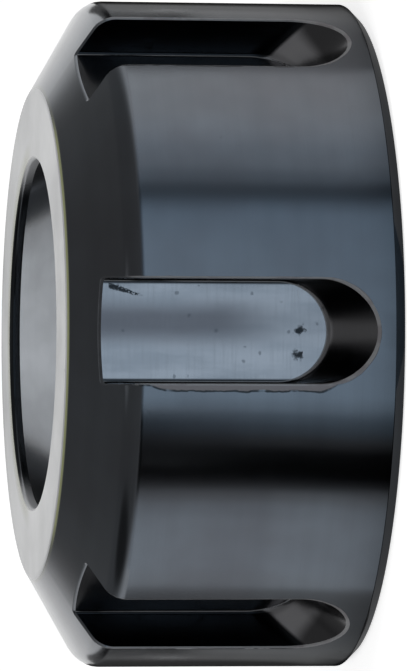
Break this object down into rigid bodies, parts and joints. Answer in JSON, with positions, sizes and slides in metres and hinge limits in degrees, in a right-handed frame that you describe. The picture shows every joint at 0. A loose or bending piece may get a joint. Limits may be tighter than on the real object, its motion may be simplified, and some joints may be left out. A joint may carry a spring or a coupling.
{
  "type": "collet nut",
  "caption": "Short round clamping nut with milled wrench slots, a sloped nose and a ground tapered seat that closes a spring collet in a tool holder.",
  "frame": {"origin": "centre of the flat rear face, where the spindle thread starts", "axes": "+Z along the thread axis from the rear face to the nose; one wrench slot is centred on -Y and the extraction lip stands in on the -X side"},
  "size_m": [0.042, 0.042, 0.02],
  "materials": {
    "black_steel": "black oxide on turned and milled steel, satin, with the nose ring and the collet seat ground bright"
  },
  "bodies": {
    "root": {"collet_nut": "black_steel"}
  },
  "joints": []
}
